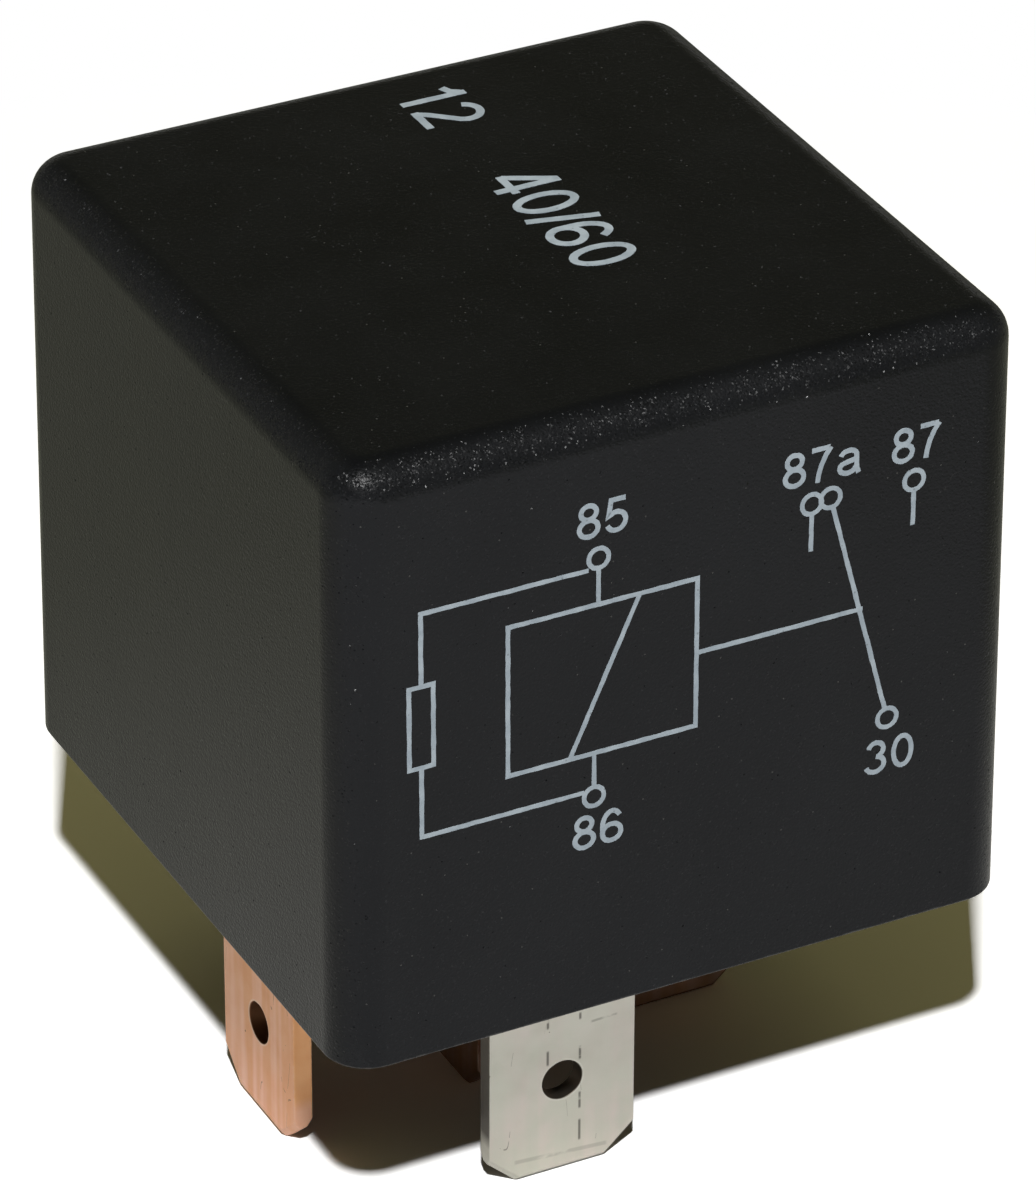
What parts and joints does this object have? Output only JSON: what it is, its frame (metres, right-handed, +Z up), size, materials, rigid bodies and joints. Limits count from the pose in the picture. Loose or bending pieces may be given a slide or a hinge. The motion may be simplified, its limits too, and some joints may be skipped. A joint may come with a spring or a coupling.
{
  "type": "changeover relay",
  "caption": "Cube-shaped plug-in changeover relay: rounded black plastic cover on a base plate with flat blade terminals, coil and hinged armature inside.",
  "frame": {"origin": "middle of the footprint, on the plane of the blade tips", "axes": "+Z up from the tips to the cover's top; the diagram face looks along -Y; terminal 87 is on the -X side and terminal 30 on the +X side"},
  "size_m": [0.0284, 0.0286, 0.0368],
  "materials": {
    "cover": "matte, fine spark-eroded mould grain",
    "base": "matte",
    "tin": "bright tin plate over brass, handled and slightly dull",
    "copper": "bare rolled copper, satin, lightly tarnished",
    "iron": "zinc-plated soft iron",
    "bobbin": "natural nylon",
    "winding": "enamelled copper wire, glossy",
    "wire": "enamelled copper wire, stripped and soldered at the post",
    "leaf": "bright copper-beryllium strip",
    "silver": "silver alloy",
    "rivet": "tin-plated brass",
    "resistor": "lacquered",
    "lead": "tinned copper wire"
  },
  "bodies": {
    "housing": {"cover": "cover", "base_plate": "base", "terminal_85": "tin", "terminal_86": "tin", "terminal_87": "copper", "terminal_87a": "copper", "terminal_30": "copper", "yoke": "iron", "core": "iron", "bobbin": "bobbin", "coil_winding": "winding", "coil_lead_85": "wire", "coil_lead_86": "wire", "fixed_contact_no": "silver", "fixed_contact_nc": "silver", "spring_rivet_front": "rivet", "spring_rivet_back": "rivet", "common_rivet": "rivet", "resistor_body": "resistor", "resistor_lead_85": "lead", "resistor_lead_86": "lead"},
    "armature_group": {"armature": "iron", "armature_rivet_front": "rivet", "armature_rivet_back": "rivet", "contact_spring": "leaf", "moving_contact": "silver"}
  },
  "joints": [
    {"name": "armature_hinge", "type": "hinge", "parent": "housing", "child": "armature_group", "pos_m": [0.011, 0, 0.02969], "axis": [0, -1, 0], "range_deg": [0, 2.5], "stiffness_Nm_per_rad": 0.02, "springref_deg": -5.73, "deforming": ["contact_spring"]}
  ]
}
